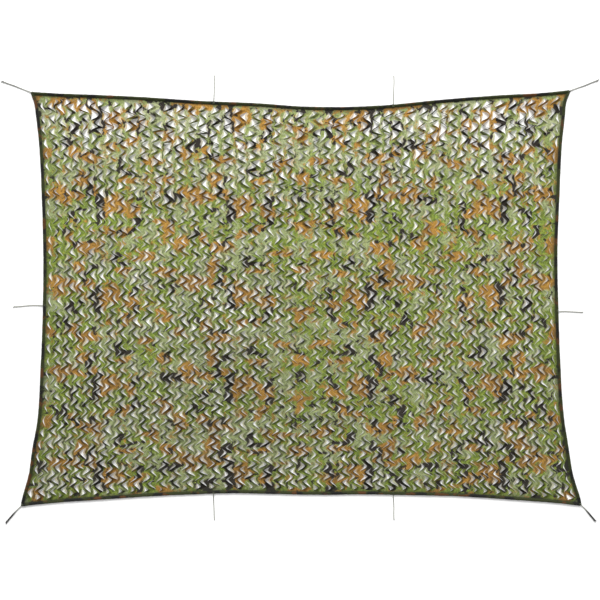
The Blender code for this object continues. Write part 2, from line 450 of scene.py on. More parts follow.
def binding_finish():
    finish = Finish("printed_binding")
    place = finish.place()
    brown = finish.specks(place, *BINDING_BROWN_SPECKS)
    black = finish.specks(place, *BINDING_BLACK_SPECKS)
    colour = finish.mix(brown, BINDING_GREEN, BINDING_BROWN)
    finish.set("Base Color", finish.mix(black, colour, BINDING_BLACK))
    finish.set("Roughness", 0.75 + finish.noise(place, GRAIN) * 0.2)
    height = weave(finish, place) + finish.noise(place, 200.0) * 2.0
    finish.bump(height, strength=0.4, distance=0.0005)
    return finish.material


def cord_finish():
    finish = Finish("tie_cord", Sheen_Weight=0.2)
    fibre = finish.noise(finish.place(), 900.0, 2.0)
    colour = finish.mix(finish.attribute("dark"), CORD_PALE, CORD_DARK)
    finish.set("Base Color", finish.mix(finish.ease(fibre, 0.3, 0.8) * 0.25, colour, CORD_FIBRE))
    finish.set("Roughness", 0.6 + fibre * 0.25)
    finish.bump(fibre, strength=0.4, distance=0.0003)
    return finish.material


def thread_finish():
    finish = Finish("sewing_thread", Roughness=0.6, Sheen_Weight=0.2)
    twist = finish.noise(finish.place(), 2500.0)
    finish.set("Base Color", finish.mix(twist, THREAD_GREEN, THREAD_PALE))
    finish.bump(twist, strength=0.3, distance=0.0002)
    return finish.material


def floor_finish():
    glow = {"Emission_Color": WHITE, "Emission_Strength": FLOOR_GLOW}
    finish = Finish("pale_floor", Roughness=0.9, **glow)
    grain = finish.noise(finish.place(), 3.0, 2.0)
    finish.set("Base Color", finish.mix(grain, FLOOR_WHITE, WHITE))
    return finish.material


# ---------------------------------------------------------------- shapes

STRAIGHT_UP = np.array((0.0, 0.0, 1.0))
NOISE_CELLS = 64  # the noise repeats after so many of its lumps
SLOPE_STEP = 0.002  # how far either way a side's slope is read
CURVE_STEPS = 32  # of a curve between two of its given points


def smooth_noise(x, y, size, seed):
    """Noise from -1 to 1 over a plane, with lumps about size across."""
    lattice = np.random.default_rng(seed).uniform(-1.0, 1.0, (NOISE_CELLS, NOISE_CELLS))
    x, y = np.asarray(x) / size, np.asarray(y) / size
    i, j = np.floor(x).astype(int), np.floor(y).astype(int)
    u, v = x - i, y - j
    u, v = u * u * (3 - 2 * u), v * v * (3 - 2 * v)
    i, j, k, m = (cell % NOISE_CELLS for cell in (i, j, i + 1, j + 1))
    low = lattice[j, i] * (1 - u) + lattice[j, k] * u
    high = lattice[m, i] * (1 - u) + lattice[m, k] * u
    return low * (1 - v) + high * v


def rising(value, start, span):
    """0 up to start, and from there up to 1 over that span."""
    return np.clip((value - start) / span, 0.0, 1.0)


def fading(distance, reach):
    """1 at no distance, and down to 0 at that reach."""
    return np.clip(1 - distance / reach, 0.0, 1.0)


def bell(*offsets):
    """1 where all the offsets are 0, and less the larger they are."""
    return np.exp(-sum(offset**2 for offset in offsets))


def smooth_table(places, table):
    """A smooth line through the table's points, read at the given places."""
    x, y = (np.array(column) for column in zip(*table))
    slope = np.gradient(y, x)
    i = np.clip(np.searchsorted(x, places) - 1, 0, len(x) - 2)
    span = x[i + 1] - x[i]
    t = np.clip((places - x[i]) / span, 0.0, 1.0)
    return (
        y[i] * (1 + 2 * t) * (1 - t) ** 2
        + slope[i] * span * t * (1 - t) ** 2
        + y[i + 1] * t * t * (3 - 2 * t)
        + slope[i + 1] * span * t * t * (t - 1)
    )


def side_of_net(first, last, draw, turn):
    """A function from shares of a side's length, and an inset, to places along it."""
    first, last = np.array(first), np.array(last)
    length = np.hypot(*(last - first))
    along = (last - first) / length
    inwards = turn * np.array((along[1], -along[0]))
    table = ((0.0, 0.0), *draw, (length, 0.0))

    def places(shares, inset=0.0):
        reach = np.asarray(shares) * length
        ahead, behind = (smooth_table(reach + step, table) for step in (SLOPE_STEP, -SLOPE_STEP))
        slope = (ahead - behind) / (2 * SLOPE_STEP)
        tilt = np.sqrt(1 + slope**2)
        in_by = smooth_table(reach, table) + inset / tilt
        along_by = reach - inset * slope / tilt
        return first + along_by[..., None] * along + in_by[..., None] * inwards

    places.length = length
    return places


top_side = side_of_net(TOP_LEFT, TOP_RIGHT, TOP_DRAW, 1)
bottom_side = side_of_net(BOTTOM_LEFT, BOTTOM_RIGHT, BOTTOM_DRAW, -1)
left_side = side_of_net(TOP_LEFT, BOTTOM_LEFT, LEFT_DRAW, -1)
right_side = side_of_net(TOP_RIGHT, BOTTOM_RIGHT, RIGHT_DRAW, 1)


def place_in_net(across, up):
    """Places in the net from shares of its width and depth, following all four sides."""
    a, b = across[..., None], up[..., None]
    flat = bottom_side(across) * (1 - b) + top_side(across) * b
    sideways = left_side(1 - up) * (1 - a) + right_side(1 - up) * a
    low = np.array(BOTTOM_LEFT) * (1 - a) + np.array(BOTTOM_RIGHT) * a
    high = np.array(TOP_LEFT) * (1 - a) + np.array(TOP_RIGHT) * a
    return flat + sideways - low * (1 - b) - high * b


def at_height(plan, height):
    """Places in plan, as points at that height."""
    return np.concatenate([plan, np.full((*plan.shape[:-1], 1), height)], -1)


def add_piece(name, points, faces, material, fields=None):
    """A piece of the net, shaded smooth, with any fields of values at its points."""
    mesh = bpy.data.meshes.new(name)
    mesh.from_pydata(np.asarray(points, float).tolist(), [], [list(face) for face in faces])
    mesh.polygons.foreach_set("use_smooth", [True] * len(mesh.polygons))
    for field, values in (fields or {}).items():
        values = np.asarray(values, np.float32)
        kind, member = ("FLOAT_VECTOR", "vector") if values.ndim == 2 else ("FLOAT", "value")
        mesh.attributes.new(field, kind, "POINT").data.foreach_set(member, values.ravel())
    mesh.materials.append(material)
    mesh.update()
    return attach(placed(name, mesh), "root")


def unit(vectors):
    return vectors / np.linalg.norm(vectors, axis=-1, keepdims=True)


def swept(path, rings):
    """A tube's points and faces. rings holds each ring's offsets to the left and up: (n, m, 2)."""
    path = np.asarray(path, float)
    ahead = unit(np.gradient(path, axis=0))
    left = [unit(np.cross(STRAIGHT_UP, ahead[0]))]
    for way in ahead[1:]:
        left.append(unit(left[-1] - way * np.dot(left[-1], way)))
    left = np.array(left)
    above = np.cross(ahead, left)
    points = path[:, None] + rings[..., :1] * left[:, None] + rings[..., 1:] * above[:, None]
    count, around = rings.shape[:2]
    ring, place = np.meshgrid(np.arange(count - 1), np.arange(around), indexing="ij")
    near, far = ring * around, (ring + 1) * around
    turn = (place + 1) % around
    faces = np.stack([near + place, far + place, far + turn, near + turn], -1)
    last = (count - 1) * around
    faces = [*faces.reshape(-1, 4).tolist(), list(range(around))]
    faces.append(list(range(last + around - 1, last - 1, -1)))
    return points.reshape(-1, 3), faces


def joined(parts):
    """Several (points, faces) as one."""
    points, faces, count = [], [], 0
    for part_points, part_faces in parts:
        points.append(part_points)
        faces += [[corner + count for corner in face] for face in part_faces]
        count += len(part_points)
    return np.concatenate(points), faces


def reach_along(path):
    """How far along the path each of its points lies."""
    return np.concatenate([[0.0], np.cumsum(np.linalg.norm(np.diff(path, axis=0), axis=1))])


def smooth_curve(points, step):
    """Points about step apart on a smooth curve through the given ones."""
    held = np.array(points, float)
    held = np.concatenate([[held[0] * 2 - held[1]], held, [held[-1] * 2 - held[-2]]])
    found = []
    for a, b, c, d in zip(held, held[1:], held[2:], held[3:]):
        for t in np.arange(CURVE_STEPS) / CURVE_STEPS:
            bend = (2 * a - 5 * b + 4 * c - d) * t * t + (3 * b - a - 3 * c + d) * t**3
            found.append((2 * b + (c - a) * t + bend) / 2)
    found = np.array([*found, held[-2]])
    reach = reach_along(found)
    even = np.linspace(0.0, reach[-1], max(2, round(reach[-1] / step)) + 1)
    return np.stack([np.interp(even, reach, column) for column in found.T], -1)


# ---------------------------------------------------------------- ties

TIE_RING_STEP = 0.0012
TIE_SIDES = 18
TIE_ROOT = 0.003  # how far a tie runs on into the binding
TIE_LYING = 0.0022  # the height of its middle where it lies on the floor
TIE_CLEARANCE = 0.0001
STRANDS = 3
STRAND_TURN = 0.013  # length of cord in which its strands go once round
STRAND_RADII = (0.80, 0.20)  # of a cord's radius: down to the grooves, and the strands' rise
# The next three are for a knot of size 1. Its line is scaled along the tie, across it and up.
KNOT_MIDDLE = 0.0045
KNOT_CORD_RADIUS = 0.00155
KNOT_SCALES = (0.00055, 0.0016, 0.0013)
KNOT_HALF_TURN = 1.9  # the knot's line runs from minus this to this
KNOT_POINTS = 70
KNOT_SIDES = 12
KNOT_SETBACK = 0.002  # how far its middle lies before the end of the tie's line
KNOT_CLEARANCE = 0.0002
# How each tie ends. Columns: how much it has swollen there, how dark it is at the binding and at
# its end, and the size of its knot.
TIE_ENDS = {
    "tie_corner_top_left": (1.15, 0.15, 0.50, 0.75),
    "tie_corner_top_right": (1.15, 0.15, 0.50, 0.75),
    "tie_corner_bottom_left": (1.60, 0.10, 1.00, 0.85),
    "tie_corner_bottom_right": (1.60, 0.10, 1.00, 0.85),
    "tie_top_left": (1.00, 0.25, 0.02, 0.50),
    "tie_top_right": (1.00, 0.25, 0.02, 0.50),
    "tie_bottom_left": (1.00, 0.40, 0.05, 0.52),
    "tie_bottom_right": (1.00, 0.40, 0.05, 0.52),
    "tie_left": (1.00, 0.02, 0.15, 0.62),
    "tie_right": (1.00, 0.02, 0.15, 0.62),
}


def strand_rings(path, radii, sides):
    """Rings of a cord laid from its strands."""
    angle = np.arange(sides) / sides * 2 * np.pi
    around = angle[None] - reach_along(path)[:, None] / STRAND_TURN * 2 * np.pi
    groove, rise = STRAND_RADII
    bulge = radii[:, None] * (groove + rise * np.abs(np.cos(STRANDS / 2 * around)))
    return np.stack([bulge * np.cos(angle), bulge * np.sin(angle)], -1)


def knot_path(end, ahead, size):
    """An overhand knot's line, with the knot drawn tight round the cord's end."""
    t = np.linspace(-KNOT_HALF_TURN, KNOT_HALF_TURN, KNOT_POINTS)
    wide = np.where(np.abs(t) < math.sqrt(3), t**3 - 3 * t, 0.0)
    aside = np.array((-ahead[1], ahead[0], 0.0))
    along_scale, across_scale, up_scale = KNOT_SCALES
    line = (
        (t**5 - 10 * t)[:, None] * along_scale * ahead
        + wide[:, None] * across_scale * aside
        + (t**4 - 4 * t * t + 2)[:, None] * up_scale * STRAIGHT_UP
    )
    return end + line * size


def add_knot(name, path, size, dark, material):
    """The knot at the end of a tie's path."""
    outwards = path[-1] - path[-4]
    outwards[2] = 0.0
    outwards = unit(outwards)
    line = knot_path(path[-1] - outwards * KNOT_SETBACK, outwards, size)
    radii = np.full(len(line), KNOT_CORD_RADIUS * size)
    line[:, 2] += radii[0] + KNOT_CLEARANCE - line[:, 2].min()
    points, faces = swept(line, strand_rings(line, radii, KNOT_SIDES))
    knot = add_piece(name, points, faces, material, {"dark": np.full(len(points), dark)})
    return knot


def add_tie(name, route, material):
    swell, dark_start, dark_end, knot_size = TIE_ENDS[name]
    start = np.array(route[0])
    inwards = unit(start - np.array(route[1]))
    resting = TIE_DIAMETER / 2 * swell + KNOT_CLEARANCE
    heights = (BINDING_MIDDLE, TIE_LYING, TIE_LYING, resting, KNOT_MIDDLE * knot_size)
    held = [(*place, height) for place, height in zip(route, heights)]
    held = [(*(start + inwards * TIE_ROOT), BINDING_MIDDLE), *held]
    path = smooth_curve(held, TIE_RING_STEP)
    # The tie swells and changes colour between a tenth and six tenths of its length.
    changed = rising(np.linspace(0.0, 1.0, len(path)), 0.10, 0.50)
    changed = changed**2 * (3 - 2 * changed)
    radii = TIE_DIAMETER / 2 * (1 + (swell - 1) * changed)
    path[:, 2] = np.maximum(path[:, 2], radii + TIE_CLEARANCE)
    points, faces = swept(path, strand_rings(path, radii, TIE_SIDES))
    dark = np.repeat(dark_start + (dark_end - dark_start) * changed, TIE_SIDES)
    cord = add_piece(name + "_cord", points, faces, material, {"dark": dark})
    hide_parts(name)
    knot = add_knot(name + "_knot", path, knot_size, dark_end + 0.1, material)


tie_material = cord_finish()
for tie, (tie_length, tie_route) in TIES.items():
    add_tie(tie, tie_route, tie_material)


# ---------------------------------------------------------------- the print

PRINT_REPEAT = (0.480, 0.324)
PRINT_START = (-0.0044, 0.270)  # the upper left corner of a repeat
PRINT_MIRROR = -0.0022  # the print is mirrored about this line up the net
WARP, FINE_WARP = 0.010, 0.008  # how far the print strays from its table
FIELD_SLOPE = 1.2  # how steeply the print's field rises into its patches
FIELD_MOST = 2.5  # and how far it may rise
# The print's patches in one repeat, in millimetres from its upper left corner.
# Columns: across, down, half width, half height, and turn in degrees.
ORANGE_PATCHES = (
    (9, 16, 14, 18, 0),
    (141, 22, 20, 10, 15),
    (158, 44, 12, 8, 30),
    (209, 40, 15, 9, 0),
    (73, 110, 33, 11, 0),
    (157, 174, 35, 10, 5),
    (14, 170, 17, 16, 0),
    (290, 88, 42, 18, -10),
    (318, 160, 22, 27, 0),
    (284, 211, 17, 16, 0),
    (405, 208, 38, 20, 10),
    (386, 240, 18, 10, 0),
    (350, 214, 30, 10, -10),
    (323, 228, 13, 9, 0),
    (209, 257, 41, 27, 0),
    (232, 290, 18, 20, 0),
    (127, 286, 24, 20, 30),
    (436, 68, 21, 25, 25),
    (472, 17, 12, 16, 0),
    (473, 173, 11, 13, 0),
    (352, 54, 13, 17, 0),
    (27, 318, 20, 7, 0),
)
BLACK_PATCHES = (
    (111, 3, 8, 6, 0),
    (130, 22, 6, 17, -30),
    (175, 31, 10, 9, 0),
    (180, 121, 13, 11, 0),
    (155, 149, 33, 7, 0),
    (191, 136, 9, 10, 0),
    (274, 68, 11, 14, -30),
    (327, 76, 10, 13, -30),
    (373, 26, 12, 19, 0),
    (405, 41, 7, 17, -20),
    (273, 163, 12, 15, -30),
    (295, 194, 9, 20, 0),
    (295, 219, 12, 7, 0),
    (251, 228, 10, 14, -30),
    (262, 256, 13, 24, 0),
    (255, 298, 15, 21, 0),
    (109, 239, 13, 11, 0),
    (122, 264, 8, 13, -30),
    (111, 312, 9, 14, 0),
    (317, 274, 14, 7, 0),
    (350, 293, 11, 18, -30),
    (334, 318, 12, 7, 0),
    (16, 230, 7, 17, 0),
    (455, 228, 23, 8, -10),
    (472, 243, 10, 8, 0),
    (9, 147, 8, 5, 0),
)
SAGE_PATCHES = (
    (222, 91, 34, 28, 0),
    (227, 150, 28, 18, 0),
    (358, 159, 30, 25, 0),
    (132, 68, 22, 20, 0),
    (120, 190, 28, 24, 0),
    (14, 100, 18, 22, 0),
    (435, 268, 28, 38, 0),
    (263, 113, 24, 14, 0),
    (54, 227, 22, 22, 0),
    (290, 281, 16, 22, 0),
    (60, 40, 26, 20, 0),
)


def print_field(across, down, patches):
    """How deep in the patches a place lies: 1 on their outlines, and more inside."""
    field = np.zeros_like(across)
    wide, high = PRINT_REPEAT
    for x, y, half_width, half_height, turn in patches:
        dx = (across - x * MILLIMETRE + wide / 2) % wide - wide / 2
        dy = (down - y * MILLIMETRE + high / 2) % high - high / 2
        cosine, sine = math.cos(math.radians(turn)), math.sin(math.radians(turn))
        u = (dx * cosine + dy * sine) / (half_width * MILLIMETRE)
        v = (dy * cosine - dx * sine) / (half_height * MILLIMETRE)
        field += np.exp(FIELD_SLOPE * (1 - u * u - v * v))
    return np.minimum(field, FIELD_MOST)


# ---------------------------------------------------------------- the leaf-cut cloth

CLOTH_INSET = 0.006  # the cloth's edge lies this far inside the outline, in the binding
# Where the mesh's columns lie in a repeat. One cut runs up the first of them, and another, which
# starts half a repeat higher, runs up the fourth.
COLUMNS = (0.0, 0.18, 0.36, 0.54, 0.77)
SECOND_CUT = COLUMNS[3]
ROWS = 12  # of the mesh in a repeat
SWAY = 0.25  # half the width of the cuts' zigzag, in repeats
ZIGZAG, WAVE = 0.45, 0.55  # the shares of straight lines and of a wave in it
# How unevenly the cloth lies, in repeats, and how much more so at the top.
WOBBLE, WOBBLE_AT_TOP = 0.15, 0.18
# How far a cut is open at each row up from its lower tip, as a share of its width. The second is
# for the upper part of the net.
OPENING = (0.0, 0.32, 0.56, 0.78, 0.96, 1.10, 1.16, 1.02, 0.70, 0.30, 0.0, 0.0)
OPENING_AT_TOP = (0.0, 0.06, 0.30, 0.80, 1.26, 1.52, 1.58, 1.42, 1.02, 0.42, 0.06, 0.0)
CUT_MARGIN = 0.28  # no cut lies nearer the cloth's edge than this, in repeats
CUT_MIDDLE = 0.35  # how far above its lower tip the place of a cut is taken, in repeats
GAP = 0.162  # how wide a cut stands open over most of the net, in repeats
GAP_SPREAD = (0.65, 1.35)  # by how much that varies from cut to cut
LIP_SPREAD = (0.4, 1.6)  # by how much the lips' heights vary
SIDE_GAPS = 0.65  # the share of its width that a cut still has next to the net's sides
FULL_GAP = 0.16  # a cut this wide, in repeats, has lips of full height
SAME_PLACE = 1e-6  # points no further apart than this, in repeats, are at one place
SAME_PUSH = 1e-9
# One lip of a cut curls up and gets painted shade along it. The other lies flatter, with a painted
# highlight along the cut and fainter painted shade behind it. Heights are in metres, and reaches in
# repeats.
CURLED_LIP = 0.0110
FLAT_LIP = 0.0022
MOST_RISE = 0.0155  # no lip stands higher than this above the cloth
LIP_REACH = 0.30
CUT_SHADE_REACH = 0.24
HIGHLIGHT_REACH = 0.14
FAINT_SHADE_REACH = 0.14
FAINT_SHADE_MIDDLE = 0.20
FAINT_SHADE_SHARE = 0.8
# The cloth's own height, its lumps, the least height it has, and its height in the binding.
LYING, LUMPS, LEAST_HEIGHT, BOUND_HEIGHT = 0.0009, 0.0010, 0.0005, 0.0036
BOUND_REACH = 0.35  # how far the cloth rises to the binding, in repeats


def in_repeats():
    """The mesh's columns and rows, in repeats from the lower left corner."""
    starts = np.arange(REPEATS_ACROSS)[:, None] + np.array(COLUMNS)
    across = np.append(starts.ravel(), REPEATS_ACROSS)
    up = np.arange(REPEATS_UP * ROWS + 1) / ROWS
    return np.meshgrid(across, up)


def net_place(cells_across, cells_up):
    """Places in the net, in metres, from repeats across and up."""
    margin_across, margin_up = (CLOTH_INSET / size for size in FLAT_SIZE)
    share_across = margin_across + smooth_table(cells_across, SPREAD) * (1 - 2 * margin_across)
    return place_in_net(share_across, margin_up + cells_up / REPEATS_UP * (1 - 2 * margin_up))


def calm(x, y):
    """How little the cuts stand out there: least in a band above the middle and a patch below."""
    band = bell((y - 0.25) / 0.13)
    patch = bell((x - 0.14) / 0.44, (y + 0.34) / 0.24)
    return 0.75 * band + 0.85 * patch


def gap_width(x, y):
    """How wide the cuts stand open there, in repeats, from the place in the net in metres."""
    high = rising(y, 0.10, 0.55)
    top = rising(y, 0.45, 0.20)
    middle = bell((x + 0.25) / 0.42)
    shoulders = bell((np.abs(x) - 0.66) / 0.26)
    loose = bell((x + 0.36) / 0.26, (y + 0.05) / 0.14)
    low_sides = bell((np.abs(x) - 0.90) / 0.22, (y + 0.50) / 0.10)
    low_corners = bell((np.abs(x) - 0.966) / 0.03, (y + 0.727) / 0.03)
    width = GAP + 0.02 * high * high + 0.030 * top + 0.015 * middle * (1 - top)
    width = width + 0.060 * shoulders * top + 0.034 * loose + 0.030 * low_sides
    width = width * (1 - 0.38 * calm(x, y))
    return width * (1 + 0.30 * smooth_noise(x, y, size=0.10, seed=3)) + 0.32 * low_corners


across, up = in_repeats()
rows, columns = across.shape
row = np.arange(rows)[:, None]
edge = np.minimum.reduce([across, REPEATS_ACROSS - across, up, REPEATS_UP - up])
side_edge = np.minimum(across, REPEATS_ACROSS - across)

# The zigzag turns right at the middle of each repeat and left at its ends, with rounded corners.
# It and the wobble die out at the net's edges.
swing = ZIGZAG * (1 - 4 * np.abs(up % 1.0 - 0.5)) - WAVE * np.cos(2 * np.pi * up)
off_sides = rising(side_edge, 0.0, 1.0)
off_ends = rising(np.minimum(up, REPEATS_UP - up), 0.0, 1.0)
wobble = WOBBLE + WOBBLE_AT_TOP * rising(up / REPEATS_UP * 2, 0.9, 1.0)
lattice_across = across + SWAY * swing * off_sides
lattice_across = lattice_across + wobble * off_sides * smooth_noise(across, up, size=1.2, seed=5)
lattice_up = up + wobble * off_ends * smooth_noise(across, up, size=1.1, seed=6)
flat = net_place(lattice_across, lattice_up)
flat_x, flat_y = flat[..., 0], flat[..., 1]


def cut_family(offset, row_shift, heights, seed):
    """One of the two kinds of cut: where they start, their widths, and their two lips.

    offset is in repeats to the right, row_shift in the mesh's rows up, and heights are those of
    the left and the right lip.
    """
    draws = np.random.default_rng(seed)
    k, m = np.meshgrid(np.arange(REPEATS_ACROSS + 1), np.arange(-1, REPEATS_UP + 1))
    k, m = k + offset, m + row_shift / ROWS + CUT_MIDDLE
    place = net_place(np.clip(k, 0, REPEATS_ACROSS), np.clip(m, 0, REPEATS_UP))
    width = gap_width(place[..., 0], place[..., 1]) * draws.uniform(*GAP_SPREAD, k.shape)
    width = width * np.clip(np.minimum(k, REPEATS_ACROSS - k) / 1.5, SIDE_GAPS, 1.0)
    return offset, row_shift, width, heights, draws.uniform(*LIP_SPREAD, (2, *k.shape))


families = (
    cut_family(offset=0.0, row_shift=0, heights=(FLAT_LIP, CURLED_LIP), seed=21),
    cut_family(offset=SECOND_CUT, row_shift=ROWS // 2, heights=(CURLED_LIP, FLAT_LIP), seed=22),
)


def opened(lip):
    """The cloth with its cuts open, on their left lips where lip is 0, and right where it is 1.

    How far each point is pushed to the right, in repeats, how high it rises, in metres, and how
    much it has of the painted highlight and of the painted shade along the cuts.
    """
    push, rise, pale, dark = np.zeros((4, rows, columns))
    # How much a cut opens as it does at the top, which is less so near the net's sides.
    at_top = rising(flat_y, 0.10, 0.40) * np.clip((side_edge - 1) / 5, 0.3, 1.0)
    for offset, row_shift, width, heights, lips in families:
        start, step = (row - row_shift) // ROWS + 1, (row - row_shift) % ROWS
        opening = np.array(OPENING)[step] * (1 - at_top) + np.array(OPENING_AT_TOP)[step] * at_top
        opening = opening * rising(edge, CUT_MARGIN, 0.2)
        local = across - offset
        near = np.round(local)
        on_cut = np.abs(local - near) < SAME_PLACE
        low = np.where(on_cut & (lip == 0), near - 1, np.floor(local + SAME_PLACE)).astype(int)
        # A point lies on the right lip of the cut to its left, and on the left lip of the next.
        for k, side, way in ((low, 1, 1), (low + 1, 0, -1)):
            valid = (k >= 0) & (k <= REPEATS_ACROSS)
            k_held = np.clip(k, 0, REPEATS_ACROSS)
            distance = np.abs(local - k)
            width_here, lip_here = width[start, k_held], lips[side][start, k_held]
            push += way * (width_here * opening * valid) / 2 * fading(distance, 1.0)
            shown = np.clip(width_here / FULL_GAP, 0.0, 1.3)
            curl = fading(distance, LIP_REACH) ** 2
            rise += heights[side] * lip_here * opening * curl * shown * valid
            share = lip_here * opening * shown * valid
            # Painted shade along the curled lip; on the flat lip a painted highlight along the cut
            # and fainter painted shade behind it.
            if heights[side] == CURLED_LIP:
                dark += fading(distance, CUT_SHADE_REACH) * share
            else:
                pale += fading(distance, HIGHLIGHT_REACH) * share
                faint = fading(np.abs(distance - FAINT_SHADE_MIDDLE), FAINT_SHADE_REACH)
                dark += faint * share * FAINT_SHADE_SHARE
    return push, rise, pale, dark


left_push, left_rise, left_highlight, left_cut_shade = opened(0)
right_push, right_rise, right_highlight, right_cut_shade = opened(1)
# How far a repeat across reaches at each point, and how high the cloth lies there before it curls.
repeat_here = np.gradient(flat, axis=1) / np.gradient(lattice_across, axis=1)[..., None]
lying = LYING + LUMPS * (smooth_noise(flat_x, flat_y, size=0.021, seed=7) + 1)


def raised(push, rise):
    """The cloth's points, from how far they are pushed to the right and how high they rise."""
    rise = rise / (1 + (rise / MOST_RISE) ** 4) ** 0.25
    bound = fading(edge, BOUND_REACH)
    points = np.zeros((rows, columns, 3))
    points[..., :2] = flat + push[..., None] * repeat_here
    points[..., 2] = np.maximum(lying + rise, LEAST_HEIGHT) * (1 - bound) + BOUND_HEIGHT * bound
    return points


# Where a cut is open, its right lip has points of its own, which come after all the others.
split = np.abs(left_push - right_push) > SAME_PUSH
left_index = np.arange(rows * columns).reshape(rows, columns)
right_index = left_index.copy()
right_index[split] = rows * columns + np.arange(split.sum())


def for_points(values, right_values=None):
    """A value for each point of the cloth, the right lips' after the rest."""
    right = (values if right_values is None else right_values)[split]
    return np.concatenate([values.reshape(rows * columns, *values.shape[2:]), right])


def cloth_noise(size, seed):
    """Noise from -1 to 1 over the cloth, with lumps about size across."""
    return smooth_noise(flat_x, flat_y, size, seed)


warp_across = WARP * cloth_noise(0.19, seed=8) + FINE_WARP * cloth_noise(0.032, seed=14)
warp_down = WARP * cloth_noise(0.17, seed=9) + FINE_WARP * cloth_noise(0.028, seed=15)
folded = np.abs(flat_x - PRINT_MIRROR) + PRINT_MIRROR
print_across = folded - PRINT_START[0] + warp_across
print_down = PRINT_START[1] - flat_y + warp_down


def printed(patches, seed, size, depth):
    """The field of one colour of the print, with its patches' outlines broken up by noise."""
    return print_field(print_across, print_down, patches) + depth * cloth_noise(size, seed)


# How near the top the cloth is, where it gets painted light, more orange and black and less painted
# shade along the cuts; how low down, where it gets painted shade and more black; where the sage
# patches are larger; and a patch below the middle that gets painted shade, as if the cloth lay in a
# slight hollow.
toward_top = rising(flat_y, 0.30, 0.35)
low_down = rising(-flat_y, 0.0, 0.55)
pale_middle = 0.42 + 0.45 * bell((flat_x + 0.31) / 0.30)
hollow = bell((flat_x + 0.17) / 0.34, (flat_y + 0.27) / 0.26)
# Less painted shade along the cuts towards the top and where the cuts stand out least.
cut_shade_share = (1 - 0.85 * toward_top) * (1 - 0.35 * calm(flat_x, flat_y))
# What is added to a colour's field makes its patches larger, and what is taken off, smaller.
fields = {
    "cloth_place": at_height(flat, 0.0),
    "orange": printed(ORANGE_PATCHES, seed=31, size=0.020, depth=0.95) + toward_top * 0.08 + 0.28,
    "black": (
        printed(BLACK_PATCHES, seed=32, size=0.013, depth=1.45)
        + low_down * 0.3
        + toward_top * 0.3
        - 0.06
    ),
    "sage": printed(SAGE_PATCHES, seed=33, size=0.034, depth=1.0) + pale_middle,
    # A little paler everywhere, with painted light growing towards the top.
    "pale_tone_and_top_light": 0.05 + 0.19 * toward_top,
    "shade": (
        0.75 * fading(edge, 0.45)
        + 0.17 * low_down
        + 0.15 * hollow
        + 0.22 * fading(side_edge, 1.8)
    ),
}
fields = {name: for_points(values) for name, values in fields.items()}
# Painted highlight along the flat lips of the cuts.
fields["back"] = for_points(left_highlight, right_highlight)
# Painted shade along the cuts.
fields["rim"] = for_points(left_cut_shade * cut_shade_share, right_cut_shade * cut_shade_share)

cloth_points = for_points(raised(left_push, left_rise), raised(right_push, right_rise))
face_corners = (
    right_index[:-1, :-1],
    left_index[:-1, 1:],
    left_index[1:, 1:],
    right_index[1:, :-1],
)
cloth_faces = np.stack(face_corners, -1).reshape(-1, 4).tolist()
cloth = add_piece("leaf_cut_cloth", cloth_points, cloth_faces, cloth_finish(), fields)
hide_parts("net_cloth")

# ---------------------------------------------------------------- binding

# The binding's section, in millimetres from its rope's middle: round over the rope, from the first
# angle to the second, and then the flange that holds the cloth. Columns: outwards, and up.
ROPE_RADIUS = 4.4
ROPE_ARC = (-140, 152)
ROPE_POINTS = 13
FLANGE = ((-4.4, 1.4), (-6.4, 0.5), (-7.2, -0.5), (-6.4, -1.4), (-4.4, -2.2))
BINDING_STEP = 0.004
LONG_START = 0.0015  # where the binding of a long side starts, as a share of its length
SHORT_START = 0.0055
BINDING_CLEARANCE = 0.0002
END_LENGTH = 0.006  # over which a binding's ends close
END_LEAST = 0.3  # of its size, at the very end
# The binding's unevenness. Columns: by how much of its size, the noise's lumps along it, and how
# far the noise moves on from point to point round it.
PUCKER = (0.08, 0.008, 0.004)
GATHER = (0.05, 0.014, 0.0007)

THREAD_RADIUS = 0.00034
THREAD_SIDES = 5
# A stitch's line. Columns: share of its length, and height in thread radii.
STITCH_LINE = ((0.0, -1.4), (0.2, 0.5), (0.8, 0.5), (1.0, -1.4))
STITCH_PITCH = 0.0056
STITCH_LENGTH = 0.0040
SEAM_INSET = 0.0056  # from the rope's middle to the seam
SEAM_HEIGHT = 0.0056
SEAM_START, SEAM_END = 0.006, 0.010  # how far the seam stops short of the binding's ends
TACK_STITCHES = 6
TACK_HALF_WIDTH = 0.0033  # along the tie
TACK_HALF_LENGTH = 0.0042  # across it
TACK_RADIUS = 0.0046  # how far the threads lie from the rope's middle
TACK_PLACE = 0.0085  # how far inwards of the tie's exit
TACK_THREAD = 1.3 * THREAD_RADIUS


def binding_section():
    angles = np.radians(np.linspace(*ROPE_ARC, ROPE_POINTS))
    rope = np.stack([ROPE_RADIUS * np.cos(angles), ROPE_RADIUS * np.sin(angles)], -1)
    return np.concatenate([rope, np.array(FLANGE)]) * MILLIMETRE


def binding_points(places, first, last, turn, seed):
    """One length of binding along a side of the net. turn is -1 where outwards is to its right."""
    count = round(places.length * (last - first) / BINDING_STEP)
    path = at_height(places(np.linspace(first, last, count), BINDING_MIDDLE), BINDING_MIDDLE)
    section = binding_section()
    reach = np.linspace(0.0, places.length, count)[:, None]
    around = np.arange(len(section))[None]
    size = np.ones((count, len(section)))
    for later, (share, lumps, step) in enumerate((PUCKER, GATHER)):
        size += share * smooth_noise(reach, around * step, lumps, seed + later)
    rings = section[None] * size[..., None]
    rings[..., 1] = np.maximum(rings[..., 1], -BINDING_MIDDLE + BINDING_CLEARANCE)
    rings[..., 0] *= turn
    if turn < 0:
        rings = rings[:, ::-1]
    from_end = np.minimum(np.arange(count), np.arange(count)[::-1]) * BINDING_STEP
    taper = np.sqrt(rising(from_end, 0.0, END_LENGTH)) * (1 - END_LEAST) + END_LEAST
    rings *= taper[:, None, None]
    return swept(path, rings)


